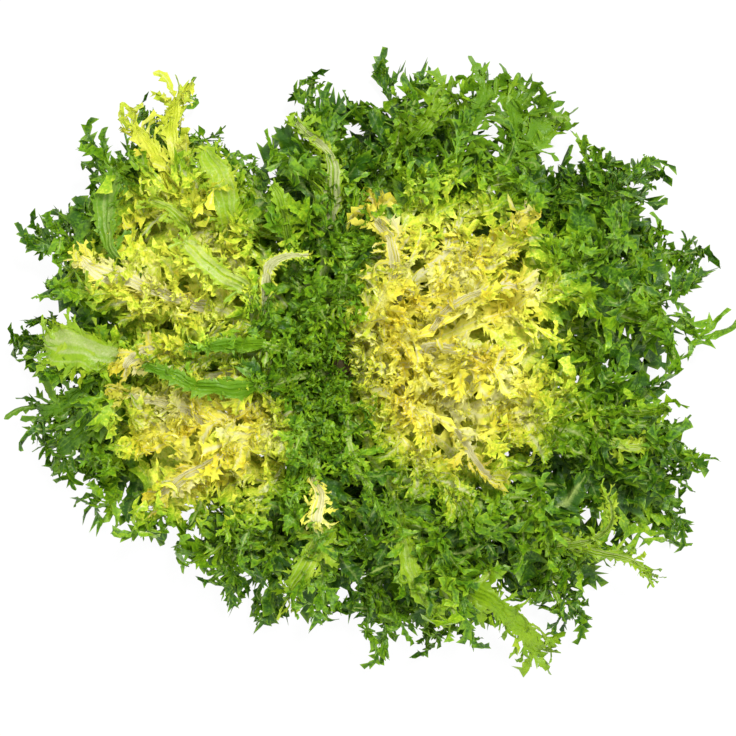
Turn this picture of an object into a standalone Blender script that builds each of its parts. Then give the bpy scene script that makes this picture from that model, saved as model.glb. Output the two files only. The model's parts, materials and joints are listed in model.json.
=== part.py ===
"""A head of curly endive, cut at the root and laid open on its base.

The leaves stand on a short cone-shaped core in the spiral in which they grew, each turned by the
golden angle from the one before. The oldest leaves lie lowest and reach furthest; the youngest
stand over the middle. Each leaf is a thick pale rib with curled, three-pointed lobes and small
teeth along both margins. Units are metres, +Z is up, and the origin is the centre of the cut base.
"""

import math
import random

import bmesh
import bpy
from mathutils import Vector
from mathutils.bvhtree import BVHTree

# --- The whole head -----------------------------------------------------------------------------
SEED = 11
GOLDEN_ANGLE = math.pi * (3 - math.sqrt(5))
FIRST_AZIMUTH = math.radians(20)
OUTER_LEAVES = 24
MIDDLE_LEAVES = 14
INNER_LEAVES = 19
LEAF_COUNT = OUTER_LEAVES + MIDDLE_LEAVES + INNER_LEAVES

# Where the head is widest and narrowest: the direction in degrees anticlockwise from +X, and how far
# the outermost leaves reach that way. The cleft at 112 degrees is where the head has parted.
OUTLINE = (
    (0, 0.215),
    (30, 0.228),
    (48, 0.192),
    (98, 0.175),
    (112, 0.130),
    (124, 0.195),
    (145, 0.200),
    (190, 0.188),
    (215, 0.168),
    (245, 0.148),
    (290, 0.175),
    (302, 0.200),
    (335, 0.226),
)
OVERHANG = 0.004  # how far a single point may stand out past the outline
HEAD_RADIUS = 0.200

# How far the oldest and the youngest leaf of each ring come, as shares of the outline.
OUTER_REACH = (1.0, 0.94)
MIDDLE_REACH = (0.88, 0.76)
INNER_REACH = (0.68, 0.36)
REACH_VARIATION = 0.03

# The inner leaves are yellow where they open to the sides. Green leaves cross between them, and
# the youngest on the left lie over the yellow ones.
COVER_WITHIN = 0.55  # an inner leaf is a green one where its azimuth's cosine is smaller than this
YOUNGEST_LEAVES = 10

# --- Core ---------------------------------------------------------------------------------------
CORE_RADIUS = 0.017
CORE_TOP_RADIUS = 0.0058
CORE_HEIGHT = 0.042
CORE_SIDES = 20
CUT_CHAMFER = 0.0015

# --- Ribs; pairs are for the outermost and the innermost leaf ------------------------------------
ROOT_HEIGHT = (0.0075, 0.040)
ROOT_GAP = 0.0004
LIFT = (0.004, 0.062)  # how far a rib climbs
RISE_LENGTH = 0.032  # how fast it levels out
DROOP = 0.009  # how far it has sunk again at HEAD_RADIUS
MOST_BOW = math.radians(13)
MOST_ROLL = math.radians(16)
RIB_WIDTH = (0.0085, 0.0030)  # at the root
RIB_WAIST = 0.55  # a rib's narrowest width, as a share of its width at the root
WAIST_PLACE = 0.45  # where that is, as a share of the rib
ROOT_THICKNESS = (0.0030, 0.0012)
THICK_SHARE = 0.77  # the share of the rib over which it thins to the blade
BLADE_THICKNESS = 0.0010
LONG_LEAF_SEGMENTS = 10
SHORT_LEAF_SEGMENTS = 7

# --- Lobes and teeth -----------------------------------------------------------------------------
LONGEST_LOBE = (0.034, 0.024)
LOBES_START = (0.26, 0.20)  # share of the rib that is bare
FIRST_LOBE = 0.62  # a lobe's length at the root, as a share of one at the point
LOBE_LEAN = math.radians(37)  # how far lobes lean towards the leaf's point
LOBE_WIDTH = 0.55  # half the width across a lobe's side points, as a share of its length
LOBE_CURL = 0.36  # how far a lobe's point is bent out of its leaf, as a share of its length
LENGTH_VARIATION = (0.85, 1.1)
CURL_VARIATION = (0.6, 1.2)
END_CURL = (-0.2, 0.3)
TOOTH = 0.0048
TOOTH_BEND = 0.5

# A lobe's rim from its near waist round its three points: shares of its length and half width.
LOBE_RIM = (
    (0.42, -0.34),
    (0.70, -1.00),
    (0.64, -0.24),
    (1.00, 0.05),
    (0.64, 0.30),
    (0.78, 0.92),
    (0.42, 0.34),
)
# Its faces, over the rib's near point, the seven points of the rim and the rib's far point.
LOBE_FACES = (
    (0, 1, 7),
    (0, 7, 8),
    (1, 2, 3),
    (1, 3, 5),
    (1, 5, 7),
    (3, 4, 5),
    (5, 6, 7),
)
TOOTH_FACES = ((0, 1, 2),)

# --- Room between leaves -------------------------------------------------------------------------
LEAST_GAP = 0.0026  # between the middle surfaces of two leaves
OWN_GAP = 0.0016  # between the lobes of one leaf
LEAST_HEIGHT = 0.0018  # of a middle surface over the table
EDGE_SAMPLES = 3  # places tested along each edge of a lobe

# The lengths and bends that a lobe is tried with, in order, as shares of what it should be.
FITS = (
    (1.0, 1.0),
    (1.0, -1.0),
    (1.0, 0.4),
    (0.8, 1.0),
    (0.8, -0.6),
    (0.62, 0.5),
    (0.62, -0.5),
    (0.45, 0.3),
)

COLOURS = {
    "outer": (0.090, 0.235, 0.022),
    "middle": (0.260, 0.450, 0.045),
    "heart": (0.800, 0.690, 0.095),
    "cover": (0.120, 0.300, 0.030),
    "core": (0.780, 0.740, 0.480),
}
ROUGHNESS = 0.45


def mix(low, high, share):
    return low + (high - low) * share


def outline_reach(azimuth):
    """The outline's reach in any direction, eased between its points."""
    direction = math.degrees(azimuth) % 360
    ends = OUTLINE[1:] + ((360, OUTLINE[0][1]),)
    for (low, low_reach), (high, high_reach) in zip(OUTLINE, ends):
        if direction <= high:
            share = (direction - low) / (high - low)
            return mix(low_reach, high_reach, 0.5 - 0.5 * math.cos(math.pi * share))
    return OUTLINE[0][1]


def leaf_kind(index, azimuth):
    """Outer and middle leaves ring the head; inside them are heart leaves and cover leaves."""
    if index < OUTER_LEAVES:
        return "outer"
    if index < OUTER_LEAVES + MIDDLE_LEAVES:
        return "middle"
    sideways = math.cos(azimuth)
    youngest = index >= LEAF_COUNT - YOUNGEST_LEAVES
    if abs(sideways) < COVER_WITHIN or (youngest and sideways < 0):
        return "cover"
    return "heart"


def reach_share(index):
    """How far along the outline's reach a leaf comes."""
    if index < OUTER_LEAVES:
        return mix(*OUTER_REACH, index / OUTER_LEAVES)
    index -= OUTER_LEAVES
    if index < MIDDLE_LEAVES:
        return mix(*MIDDLE_REACH, index / MIDDLE_LEAVES)
    index -= MIDDLE_LEAVES
    return mix(*INNER_REACH, index / INNER_LEAVES)


class Leaf:
    """One leaf: its place in the spiral, its rib, and the middle surface of its blade."""

    def __init__(self, index, rng):
        self.youth = index / (LEAF_COUNT - 1)
        self.azimuth = (FIRST_AZIMUTH + index * GOLDEN_ANGLE) % math.tau
        self.kind = leaf_kind(index, self.azimuth)
        self.bow = rng.uniform(-MOST_BOW, MOST_BOW)
        self.roll = rng.uniform(-MOST_ROLL, MOST_ROLL)
        self.reach = reach_share(index) * outline_reach(self.azimuth + self.bow)
        self.reach *= rng.uniform(1 - REACH_VARIATION, 1)

        self.root_height = mix(*ROOT_HEIGHT, self.youth)
        self.lift = mix(*LIFT, self.youth)
        self.root_width = mix(*RIB_WIDTH, self.youth)
        self.root_thickness = mix(*ROOT_THICKNESS, self.youth)
        core_there = mix(CORE_RADIUS, CORE_TOP_RADIUS, self.root_height / CORE_HEIGHT)
        slope = math.atan2(self.lift, RISE_LENGTH)
        self.root_radius = core_there + ROOT_GAP + 0.5 * self.root_thickness * math.sin(slope)

        self.points = []
        self.stiffness = []
        self.faces = []
        self.stations = []
        self.surface = None

    def rib_point(self, share):
        """The rib's centreline at a share of the way from the root to the point."""
        radius = mix(self.root_radius, self.reach, share)
        azimuth = self.azimuth + self.bow * share * share
        climb = self.lift * (1 - math.exp(-(radius - self.root_radius) / RISE_LENGTH))
        height = self.root_height + climb - DROOP * (radius / HEAD_RADIUS) ** 2
        return Vector((radius * math.cos(azimuth), radius * math.sin(azimuth), height))

    def rib_frame(self, share, step=0.01):
        """The rib's direction, its left side and its upper face at that share."""
        along = (self.rib_point(share + step) - self.rib_point(share - step)).normalized()
        side = Vector((0, 0, 1)).cross(along).normalized()
        up = along.cross(side)
        angle = self.roll * share
        rolled_side = side * math.cos(angle) + up * math.sin(angle)
        rolled_up = up * math.cos(angle) - side * math.sin(angle)
        return along, rolled_side, rolled_up

    def rib_half_width(self, share):
        """Wide at the root, and narrowest at the waist."""
        narrowing = math.sin(0.5 * math.pi * min(share / WAIST_PLACE, 2))
        return 0.5 * self.root_width * mix(1, RIB_WAIST, narrowing)

    def add_point(self, place, stiffness=0.0):
        self.points.append(place)
        self.stiffness.append(stiffness)
        return len(self.points) - 1

    def add_rib(self):
        """A ribbon with a left and a right margin point at each station."""
        is_long = self.kind in ("outer", "middle")
        segments = LONG_LEAF_SEGMENTS if is_long else SHORT_LEAF_SEGMENTS
        for step in range(segments + 1):
            share = step / (segments + 1)
            centre = self.rib_point(share)
            _, side, _ = self.rib_frame(share)
            half = side * self.rib_half_width(share)
            stiffness = max(0.0, 1 - share / THICK_SHARE)
            left = self.add_point(centre + half, stiffness)
            right = self.add_point(centre - half, stiffness)
            self.stations.append((share, left, right))
        for (_, left, right), (_, next_left, next_right) in self.spans():
            self.faces.append((left, right, next_right))
            self.faces.append((left, next_right, next_left))
        self.close_surface()

    def spans(self):
        """The rib's stations in neighbouring pairs."""
        return list(zip(self.stations, self.stations[1:]))

    def close_surface(self):
        """Makes the surface that the other leaves keep clear of."""
        self.surface = BVHTree.FromPolygons(self.points, self.faces)

    def surface_away_from(self, near, far):
        """The leaf's own surface without the faces that meet these two points of its rib."""
        away = [face for face in self.faces if near not in face and far not in face]
        return BVHTree.FromPolygons(self.points, away)

    def add_outgrowth(self, near, far, turned, places, faces):
        """Joins a lobe or a tooth to the rib's margin between two of its points."""
        rim = [near, *(self.add_point(place) for place in places), far]
        for face in faces:
            corners = tuple(rim[index] for index in face)
            self.faces.append(corners[::-1] if turned else corners)


def slab(rim, faces, up):
    """The thin space on both sides of a flat shape, as a tree that leaves can be tested on."""
    count = len(rim)
    places = [place + up * LEAST_GAP for place in rim] + [place - up * LEAST_GAP for place in rim]
    sides = list(faces) + [tuple(index + count for index in face) for face in faces]
    for index in range(count):
        after = (index + 1) % count
        sides.append((index, after, after + count, index + count))
    return BVHTree.FromPolygons(places, sides)


def along_edges(rim):
    """Places along the free edges of a lobe, so that nothing slips in between its points."""
    return [
        mix(start, end, step / EDGE_SAMPLES)
        for start, end in zip(rim, rim[1:])
        for step in range(EDGE_SAMPLES)
    ][1:]


def is_clear(rim, faces, up, own, others):
    """Whether a shape keeps clear of the table, the outline, its own leaf and the others."""
    for place in rim:
        limit = outline_reach(math.atan2(place.y, place.x)) + OVERHANG
        if place.z < LEAST_HEIGHT or math.hypot(place.x, place.y) > limit:
            return False
    edges = along_edges(rim)
    if BVHTree.FromPolygons(rim, faces).overlap(own):
        return False
    if any(own.find_nearest(place, OWN_GAP)[0] for place in edges):
        return False
    space = slab(rim, faces, up)
    for other in others:
        if space.overlap(other):
            return False
        if any(other.find_nearest(place, LEAST_GAP)[0] for place in edges):
            return False
    return True


def lobe_rim(ends, outwards, across, up, length, bent):
    """A lobe's outer points, on the rib between these ends."""
    root = (ends[0] + ends[1]) / 2
    wide = length * LOBE_WIDTH
    return [
        root + outwards * (length * out) + across * (wide * side) + up * (bent * out * out)
        for out, side in LOBE_RIM
    ]


def grow_lobe(leaf, others, near, far, turned, axes, length, curl):
    """Adds the first fit of a lobe that is clear, and says whether there was one."""
    outwards, across, up = axes
    ends = (leaf.points[near], leaf.points[far])
    own = leaf.surface_away_from(near, far)
    for size, bend in FITS:
        long = length * size
        rim = lobe_rim(ends, outwards, across, up, long, long * curl * bend)
        if is_clear([ends[0], *rim, ends[1]], LOBE_FACES, up, own, others):
            leaf.add_outgrowth(near, far, turned, rim, LOBE_FACES)
            return True
    return False


def grow_tooth(leaf, others, near, far, turned, axes, bend):
    """Adds a tooth between two lobes if it is clear."""
    outwards, _, up = axes
    ends = (leaf.points[near], leaf.points[far])
    tip = (ends[0] + ends[1]) / 2 + (outwards + up * bend) * TOOTH
    own = leaf.surface_away_from(near, far)
    if is_clear([ends[0], tip, ends[1]], TOOTH_FACES, up, own, others):
        leaf.add_outgrowth(near, far, turned, [tip], TOOTH_FACES)


def grow_leaf(leaf, leaves, rng):
    """Lobes on alternate sides of the rib, teeth between them, and a lobe for the point."""
    others = [other.surface for other in leaves if other is not leaf]
    bare = mix(*LOBES_START, leaf.youth)
    longest = mix(*LONGEST_LOBE, leaf.youth)
    for step, ((share, left, right), (next_share, next_left, next_right)) in enumerate(leaf.spans()):
        middle = (share + next_share) / 2
        if middle < bare:
            continue
        along, side, up = leaf.rib_frame(middle)
        for turn, near, far in ((1, left, next_left), (-1, right, next_right)):
            outwards = side * turn * math.cos(LOBE_LEAN) + along * math.sin(LOBE_LEAN)
            across = along * math.cos(LOBE_LEAN) - side * turn * math.sin(LOBE_LEAN)
            axes = (outwards, across, up)
            on_left = turn > 0
            grown = False
            if (step % 2 == 0) == on_left:
                length = longest * mix(FIRST_LOBE, 1, middle) * rng.uniform(*LENGTH_VARIATION)
                upwards = 1 if step // 2 % 2 == 0 else -1
                curl = upwards * LOBE_CURL * rng.uniform(*CURL_VARIATION)
                grown = grow_lobe(leaf, others, near, far, on_left, axes, length, curl)
            if not grown:
                bend = rng.uniform(-TOOTH_BEND, TOOTH_BEND)
                grow_tooth(leaf, others, near, far, on_left, axes, bend)

    share, left, right = leaf.stations[-1]
    length = leaf.reach * (1 - share)
    axes = leaf.rib_frame(share)
    grow_lobe(leaf, others, right, left, False, axes, length, rng.uniform(*END_CURL))
    leaf.close_surface()


def material(name, colour):
    made = bpy.data.materials.new(name)
    made.use_nodes = True
    shader = made.node_tree.nodes["Principled BSDF"]
    shader.inputs["Base Color"].default_value = (*colour, 1)
    shader.inputs["Roughness"].default_value = ROUGHNESS
    return made


def add_leaf_object(name, leaf, finish, collection):
    """The leaf's middle surface, thickened: full at the root and thin in the blade."""
    mesh = bpy.data.meshes.new(name)
    mesh.from_pydata(leaf.points, [], leaf.faces)
    mesh.materials.append(finish)
    made = bpy.data.objects.new(name, mesh)
    collection.objects.link(made)
    group = made.vertex_groups.new(name="rib")
    for index, stiffness in enumerate(leaf.stiffness):
        weight = mix(BLADE_THICKNESS / leaf.root_thickness, 1, stiffness)
        group.add([index], weight, "REPLACE")
    thicken = made.modifiers.new("thickness", "SOLIDIFY")
    thicken.thickness = leaf.root_thickness
    thicken.offset = 0
    thicken.vertex_group = group.name


def add_core_object(finish, collection):
    """The short stem: a cone with a flat, slightly chamfered cut at its foot."""
    mesh = bpy.data.meshes.new("core")
    shape = bmesh.new()
    bmesh.ops.create_cone(
        shape,
        cap_ends=True,
        segments=CORE_SIDES,
        radius1=CORE_RADIUS,
        radius2=CORE_TOP_RADIUS,
        depth=CORE_HEIGHT,
    )
    bmesh.ops.translate(shape, verts=shape.verts, vec=(0, 0, CORE_HEIGHT / 2))
    foot = [e for e in shape.edges if all(v.co.z < CORE_HEIGHT / 2 for v in e.verts)]
    bmesh.ops.bevel(shape, geom=foot, offset=CUT_CHAMFER, affect="EDGES")
    shape.to_mesh(mesh)
    shape.free()
    mesh.materials.append(finish)
    collection.objects.link(bpy.data.objects.new("core", mesh))


def main():
    for old in list(bpy.data.objects):
        bpy.data.objects.remove(old)
    collection = bpy.data.collections.new("curly_endive_head")
    bpy.context.scene.collection.children.link(collection)
    finishes = {name: material(name, colour) for name, colour in COLOURS.items()}
    add_core_object(finishes["core"], collection)

    rng = random.Random(SEED)
    leaves = [Leaf(index, rng) for index in range(LEAF_COUNT)]
    for leaf in leaves:
        leaf.add_rib()
    for leaf in leaves:
        grow_leaf(leaf, leaves, rng)

    made = dict.fromkeys(COLOURS, 0)
    for leaf in leaves:
        made[leaf.kind] += 1
        name = f"{leaf.kind}_leaf_{made[leaf.kind]:02d}"
        add_leaf_object(name, leaf, finishes[leaf.kind], collection)


main()
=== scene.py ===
"""A head of curly endive, opened flat: its cut core, four rings of frizzy leaves, and the studio.

Units are metres, +Z is up, and the origin is the centre of the cut base. The leaves stand in the
spiral in which they grew, so every leaf's rib follows from its number, as in the solids.
"""

import json
import math
import random
from dataclasses import dataclass

import bmesh
import bpy
import numpy as np
from mathutils import Matrix, Vector

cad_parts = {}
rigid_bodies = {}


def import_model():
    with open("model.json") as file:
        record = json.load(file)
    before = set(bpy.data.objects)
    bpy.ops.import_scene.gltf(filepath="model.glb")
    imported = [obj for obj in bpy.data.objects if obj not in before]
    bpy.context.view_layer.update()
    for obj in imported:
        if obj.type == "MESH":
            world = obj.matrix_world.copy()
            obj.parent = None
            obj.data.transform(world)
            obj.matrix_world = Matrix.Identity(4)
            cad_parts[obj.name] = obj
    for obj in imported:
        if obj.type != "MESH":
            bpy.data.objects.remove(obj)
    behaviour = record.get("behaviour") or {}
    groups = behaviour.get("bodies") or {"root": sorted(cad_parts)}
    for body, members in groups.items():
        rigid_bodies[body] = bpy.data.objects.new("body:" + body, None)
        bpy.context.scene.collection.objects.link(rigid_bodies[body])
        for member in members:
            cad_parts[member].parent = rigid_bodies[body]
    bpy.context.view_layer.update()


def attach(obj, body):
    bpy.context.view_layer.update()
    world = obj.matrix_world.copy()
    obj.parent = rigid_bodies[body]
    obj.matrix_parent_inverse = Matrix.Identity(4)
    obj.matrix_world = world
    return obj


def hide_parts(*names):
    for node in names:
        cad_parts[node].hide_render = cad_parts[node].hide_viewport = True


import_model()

BODY = "root"


# --- Core ---
# The short stem that every leaf grows from, pale and firm, with the scars of shed leaves round it.
# It was cut flat across the root, and the cut has browned from its rim inwards. It is one turned
# shape, in place of the plain cone.
CORE_RADIUS = 0.017
CORE_TOP_RADIUS = 0.0058
CORE_HEIGHT = 0.042
CORE_ROUND = 64
CORE_RINGS = 24
CUT_RINGS = (0.3, 0.6, 0.8)  # shares of the radius
CUT_ROUNDING = 0.0015
ROUNDING_STEPS = 3
SCAR_ROWS = 9
SCAR_CLIMB = 3  # how many rows a scar climbs once round the core
SCAR_DEPTH = 0.0007
SCARS_BEGIN = (0.003, 0.008)  # from nothing to their full depth
BROWN_HEIGHT = (0.0001, 0.004)
POINT_HEIGHT = (CORE_HEIGHT - 0.008, CORE_HEIGHT - 0.001)
CORE_FLESH = ((0.72, 0.66, 0.36), (0.90, 0.86, 0.62))
CUT_BROWN = (0.21, 0.105, 0.035)
# Painted shade: the top of the core is darkened where the leaves close over it.
POINT_SHADE = (0.045, 0.035, 0.008)


def mix(low, high, share):
    return low + (high - low) * share


def smooth_step(low, high, value):
    """Eases from 0 at low to 1 at high."""
    share = np.clip((value - low) / (high - low), 0, 1)
    return share * share * (3 - 2 * share)


def new_object(name, mesh):
    made = bpy.data.objects.new(name, mesh)
    bpy.context.scene.collection.objects.link(made)
    return made


def turned_core():
    """Rings from the middle of the cut face, round its edge and up the side, to the top."""
    profile = [(0.0, 0.0)]
    profile += [(CORE_RADIUS * share, 0.0) for share in CUT_RINGS]
    for step in range(ROUNDING_STEPS + 1):
        turn = math.pi / 2 * step / ROUNDING_STEPS
        radius = CORE_RADIUS - CUT_ROUNDING * (1 - math.sin(turn))
        profile.append((radius, CUT_ROUNDING * (1 - math.cos(turn))))
    for ring in range(1, CORE_RINGS + 1):
        share = ring / CORE_RINGS
        height = mix(CUT_ROUNDING, CORE_HEIGHT, share)
        profile.append((mix(CORE_RADIUS, CORE_TOP_RADIUS, height / CORE_HEIGHT), height))
    profile.append((CORE_TOP_RADIUS * 0.5, CORE_HEIGHT))
    profile.append((0.0, CORE_HEIGHT))

    shape = bmesh.new()
    rings = []
    for radius, height in profile:
        if radius == 0:
            rings.append([shape.verts.new((0, 0, height))])
            continue
        ring = []
        for side in range(CORE_ROUND):
            angle = math.tau * side / CORE_ROUND
            row = height / CORE_HEIGHT * SCAR_ROWS + angle / math.tau * SCAR_CLIMB
            on_side = smooth_step(*SCARS_BEGIN, height)
            scar = SCAR_DEPTH * on_side * abs(math.sin(math.pi * row))
            turned = radius - SCAR_DEPTH * on_side + scar
            x, y = turned * math.cos(angle), turned * math.sin(angle)
            ring.append(shape.verts.new((x, y, height)))
        rings.append(ring)
    for low, high in zip(rings, rings[1:]):
        for side in range(CORE_ROUND):
            after = (side + 1) % CORE_ROUND
            corners = [low[side % len(low)], low[after % len(low)]]
            corners += [high[after % len(high)], high[side % len(high)]]
            shape.faces.new(list(dict.fromkeys(corners)))
    bmesh.ops.recalc_face_normals(shape, faces=shape.faces)
    mesh = bpy.data.meshes.new("core_flesh")
    shape.to_mesh(mesh)
    shape.free()
    mesh.shade_smooth()
    return new_object("core_flesh", mesh)


def blank_material(name):
    made = bpy.data.materials.new(name)
    made.use_nodes = True
    return made, made.node_tree, made.node_tree.nodes["Principled BSDF"]


def fill(tree, made, entries):
    """Gives a node's inputs, by name or place, a link or a plain value each."""
    for key, value in entries.items():
        if isinstance(value, bpy.types.NodeSocket):
            tree.links.new(value, made.inputs[key])
        else:
            made.inputs[key].default_value = value


def new_node(tree, kind, entries, **settings):
    """A node with those settings and inputs; gives back its outputs."""
    made = tree.nodes.new(kind)
    for key, value in settings.items():
        setattr(made, key, value)
    fill(tree, made, entries)
    return made.outputs


def mix_colour(tree, factor, low, high, blend="MIX"):
    """A colour between two, each a socket or a plain colour."""
    entries = {0: factor, 6: low, 7: high}
    for key, value in entries.items():
        entries[key] = (*value, 1) if isinstance(value, tuple) else value
    return new_node(tree, "ShaderNodeMix", entries, data_type="RGBA", blend_type=blend)[2]


def remap(tree, value, low, high, to_low=0.0, to_high=1.0):
    """Eases a value from one range to another."""
    ends = {"From Min": low, "From Max": high, "To Min": to_low, "To Max": to_high}
    made = new_node(tree, "ShaderNodeMapRange", {"Value": value, **ends},
                    interpolation_type="SMOOTHSTEP")
    return made["Result"]


def noise(tree, place, scale, detail):
    entries = {"Vector": place, "Scale": scale, "Detail": detail}
    return new_node(tree, "ShaderNodeTexNoise", entries)["Fac"]


def arithmetic(tree, operation, *values):
    return new_node(tree, "ShaderNodeMath", dict(enumerate(values)), operation=operation)[0]


def bump(tree, height, strength, distance):
    entries = {"Height": height, "Strength": strength, "Distance": distance}
    return new_node(tree, "ShaderNodeBump", entries)["Normal"]


def core_material():
    """Cream flesh, browner towards the rim of the cut, with painted shade darkening the growing
    point on top.
    """
    made, tree, shader = blank_material("core_cream")
    place = tree.nodes.new("ShaderNodeTexCoord").outputs["Object"]
    height = new_node(tree, "ShaderNodeSeparateXYZ", {0: place})["Z"]
    patches = noise(tree, place, 260, 4)
    low = remap(tree, height, *BROWN_HEIGHT, 1, 0)
    browned = arithmetic(tree, "MULTIPLY", low, remap(tree, patches, 0.3, 0.65, 0.35, 1))
    # Painted shade on the growing point at the top of the core.
    point_shade = remap(tree, height, *POINT_HEIGHT)
    colour = mix_colour(tree, patches, *CORE_FLESH)
    colour = mix_colour(tree, browned, colour, CUT_BROWN)
    colour = mix_colour(tree, point_shade, colour, POINT_SHADE)
    fill(tree, shader, {
        "Base Color": colour,
        "Roughness": remap(tree, patches, 0.2, 0.8, 0.5, 0.8),
        "Specular IOR Level": 0.15,
        "Normal": bump(tree, noise(tree, place, 900, 3), 0.4, 0.0003),
    })
    return made


core = turned_core()
core.data.materials.append(core_material())
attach(core, BODY)
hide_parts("core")


# --- Outer leaves ---
# The oldest leaves, dark green and feathery. Each is a flat pale rib with broad toothed lobes low
# on both sides, finely divided ones over them and one more at its end. They grow from the foot of
# the core, lie lowest and reach furthest.
SEED = 11
SHAPE_SEED = SEED + 1
LEAF_SEED = SEED + 100
GOLDEN_ANGLE = math.pi * (3 - math.sqrt(5))
FIRST_AZIMUTH = math.radians(20)
OUTER_LEAVES = 24
MIDDLE_LEAVES = 14
INNER_LEAVES = 19
LEAF_COUNT = OUTER_LEAVES + MIDDLE_LEAVES + INNER_LEAVES

# Direction in degrees anticlockwise from +X, and how far the outermost leaves reach that way.
OUTLINE = (
    (0, 0.215), (30, 0.228), (48, 0.192), (98, 0.175), (112, 0.130), (124, 0.195), (145, 0.200),
    (190, 0.188), (215, 0.168), (245, 0.148), (290, 0.175), (302, 0.200), (335, 0.226),
)
HEAD_RADIUS = 0.200
OUTER_REACH = (1.0, 0.94)  # shares of the outline, for the first and the last leaf of a ring
MIDDLE_REACH = (0.88, 0.76)
INNER_REACH = (0.68, 0.36)
REACH_VARIATION = 0.03
COVER_WITHIN = 0.55  # an inner leaf is a green one where its azimuth's cosine is smaller than this
YOUNGEST_LEAVES = 10  # of these, the ones on the left are green too

# Ribs; pairs are for the outermost and the innermost leaf.
ROOT_HEIGHT = (0.0075, 0.040)
ROOT_GAP = 0.0004
LIFT = (0.004, 0.062)  # how far a rib climbs
RISE_LENGTH = 0.032  # how fast it levels out
DROOP = 0.009  # how far it has sunk again at HEAD_RADIUS
MOST_BOW = math.radians(13)
MOST_ROLL = math.radians(16)
RIB_WIDTH = (0.0085, 0.0050)
RIB_END = 0.28  # its width at the point, as a share of its width at the root
ROOT_THICKNESS = (0.0030, 0.0014)
END_THICKNESS = 0.0006
LANDING = 0.005  # below this height leaves level out on the table

# Lobes that would pass the outline or the crown are made smaller.
OUTLINE_SHARE = 0.985
CROWN_HEIGHT = 0.084
FIT_TRIES = 15
FIT_STEP = 0.88


def outline_reach(azimuth):
    """The outline's reach in any direction, eased between its points."""
    direction = math.degrees(azimuth) % 360
    ends = OUTLINE[1:] + ((360, OUTLINE[0][1]),)
    for (low, low_reach), (high, high_reach) in zip(OUTLINE, ends):
        if direction <= high:
            share = (direction - low) / (high - low)
            return mix(low_reach, high_reach, 0.5 - 0.5 * math.cos(math.pi * share))
    return OUTLINE[0][1]


def leaf_kind(index, azimuth):
    if index < OUTER_LEAVES:
        return "outer"
    if index < OUTER_LEAVES + MIDDLE_LEAVES:
        return "middle"
    sideways = math.cos(azimuth)
    youngest = index >= LEAF_COUNT - YOUNGEST_LEAVES
    if abs(sideways) < COVER_WITHIN or (youngest and sideways < 0):
        return "cover"
    return "heart"


def reach_share(index):
    if index < OUTER_LEAVES:
        return mix(*OUTER_REACH, index / OUTER_LEAVES)
    index -= OUTER_LEAVES
    if index < MIDDLE_LEAVES:
        return mix(*MIDDLE_REACH, index / MIDDLE_LEAVES)
    index -= MIDDLE_LEAVES
    return mix(*INNER_REACH, index / INNER_LEAVES)


class Leaf:
    """One leaf's place in the spiral and its rib, by the same rule as its solid."""

    def __init__(self, index, rng):
        self.index = index
        self.youth = index / (LEAF_COUNT - 1)
        self.azimuth = (FIRST_AZIMUTH + index * GOLDEN_ANGLE) % math.tau
        self.kind = leaf_kind(index, self.azimuth)
        self.bow = rng.uniform(-MOST_BOW, MOST_BOW)
        self.roll = rng.uniform(-MOST_ROLL, MOST_ROLL)
        self.reach = reach_share(index) * outline_reach(self.azimuth + self.bow)
        self.reach *= rng.uniform(1 - REACH_VARIATION, 1)
        self.root_height = mix(*ROOT_HEIGHT, self.youth)
        self.lift = mix(*LIFT, self.youth)
        self.root_width = mix(*RIB_WIDTH, self.youth)
        self.root_thickness = mix(*ROOT_THICKNESS, self.youth)
        core_there = mix(CORE_RADIUS, CORE_TOP_RADIUS, self.root_height / CORE_HEIGHT)
        slope = math.atan2(self.lift, RISE_LENGTH)
        self.root_radius = core_there + ROOT_GAP + 0.5 * self.root_thickness * math.sin(slope)

    def rib_point(self, share):
        radius = mix(self.root_radius, self.reach, share)
        azimuth = self.azimuth + self.bow * share * share
        climb = self.lift * (1 - math.exp(-(radius - self.root_radius) / RISE_LENGTH))
        height = self.root_height + climb - DROOP * (radius / HEAD_RADIUS) ** 2
        return Vector((radius * math.cos(azimuth), radius * math.sin(azimuth), height))

    def rib_frame(self, share, step=0.01):
        """The rib's direction, its left side and its upper face at that share."""
        along = (self.rib_point(share + step) - self.rib_point(share - step)).normalized()
        side = Vector((0, 0, 1)).cross(along).normalized()
        up = along.cross(side)
        angle = self.roll * share
        rolled_side = side * math.cos(angle) + up * math.sin(angle)
        rolled_up = up * math.cos(angle) - side * math.sin(angle)
        return along, rolled_side, rolled_up


SHARP_FROM = math.radians(70)
STRAY = 0.3  # how far a ring of points strays from its place, as a share of a step


def set_points(mesh, key, values, kind="FLOAT"):
    mesh.attributes.new(key, kind, "POINT").data.foreach_set("value", values)


def closed_mesh(name, places, faces, points):
    """A closed mesh of triangles facing out, with values on its points."""
    mesh = bpy.data.meshes.new(name)
    mesh.from_pydata([tuple(place) for place in places], [], faces)
    shape = bmesh.new()
    shape.from_mesh(mesh)
    bmesh.ops.recalc_face_normals(shape, faces=shape.faces)
    bmesh.ops.triangulate(shape, faces=shape.faces)
    shape.to_mesh(mesh)
    shape.free()
    mesh.shade_smooth()
    mesh.set_sharp_from_angle(angle=SHARP_FROM)
    for key, values in points.items():
        set_points(mesh, key, values)
    return mesh


def strayed(step, steps, rng):
    """A ring's share of the way: a little off its even place, except at both ends."""
    shift = rng.uniform(-STRAY, STRAY) if 0 < step < steps else 0
    return (step + shift) / steps


def tube_faces(first, count, steps):
    """The sides and both ends of a tube, from its first point's number and its points round."""
    faces = []
    last = first + steps * count
    for low in range(first, last, count):
        for corner in range(count):
            after = (corner + 1) % count
            faces.append((low + corner, low + count + corner, low + count + after, low + after))
    faces.append(tuple(range(first, first + count)))
    faces.append(tuple(range(last + count - 1, last - 1, -1)))
    return faces


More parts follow.
